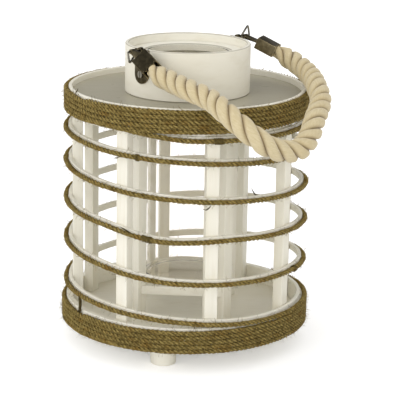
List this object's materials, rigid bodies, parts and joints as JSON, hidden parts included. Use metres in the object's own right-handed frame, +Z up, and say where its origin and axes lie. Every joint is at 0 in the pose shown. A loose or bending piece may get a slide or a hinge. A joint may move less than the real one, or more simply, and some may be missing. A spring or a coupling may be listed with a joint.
{
  "type": "hanging lantern",
  "caption": "Round hanging lantern: slatted white drum with jute bands and a spiral of twine, glass cylinder inside, recessed lid with a collar, and a rope bail handle that folds down.",
  "frame": {"origin": "on the ground under the middle of the drum, at the feet's lower faces", "axes": "+Z up along the drum's axis, -Y towards the front, +X to the viewer's right"},
  "size_m": [0.2521, 0.3011, 0.301],
  "materials": {
    "painted_wood": "satin cream-white paint on wood",
    "painted_board": "satin grey-white paint on board",
    "jute": "natural olive-brown jute twine",
    "clear_glass": "clear",
    "dark_metal": "dark nickel",
    "bright_metal": "worn nickel",
    "nail_steel": "bright",
    "beech": "bare",
    "cotton_rope": "cream three-strand rope"
  },
  "bodies": {
    "drum": {"base_disc": "painted_board", "base_hoop": "painted_wood", "base_jute_band": "jute", "foot_1": "painted_wood", "foot_2": "painted_wood", "foot_3": "painted_wood", "foot_dowels": "beech", "slat_1": "painted_wood", "slat_2": "painted_wood", "slat_3": "painted_wood", "slat_4": "painted_wood", "slat_5": "painted_wood", "slat_6": "painted_wood", "slat_7": "painted_wood", "slat_8": "painted_wood", "base_hoop_nails": "nail_steel", "top_hoop_nails": "nail_steel", "post_1": "painted_wood", "post_2": "painted_wood", "post_3": "painted_wood", "post_4": "painted_wood", "rail_1": "painted_wood", "rail_2": "painted_wood", "rail_3": "painted_wood", "rail_4": "painted_wood", "lid_disc": "painted_board", "top_hoop": "painted_wood", "top_jute_band": "jute", "lath_turn_1": "painted_wood", "lath_turn_2": "painted_wood", "lath_turn_3": "painted_wood", "lath_turn_4": "painted_wood", "lath_turn_5": "painted_wood", "lath_tail": "painted_wood", "lath_nails": "nail_steel", "spiral_twine": "jute", "twine_splices": "jute", "twine_tie": "jute", "collar": "painted_wood", "collar_ledge": "painted_wood", "bracket_front": "dark_metal", "bracket_rear": "dark_metal", "bracket_screws": "bright_metal"},
    "glass": {"glass_cylinder": "clear_glass"},
    "handle": {"handle_rope": "cotton_rope", "clamp_front": "dark_metal", "clamp_rear": "dark_metal", "link_front": "bright_metal", "link_rear": "bright_metal"}
  },
  "joints": [
    {"name": "handle_fold", "type": "hinge", "parent": "drum", "child": "handle", "pos_m": [0.00221, -0.00245, 0.289], "axis": [-0.7431, -0.6691, 0], "range_deg": [0, 200]},
    {"name": "glass_lift", "type": "slide", "parent": "drum", "child": "glass", "axis": [0, 0, 1], "range_m": [0, 0.26]}
  ]
}
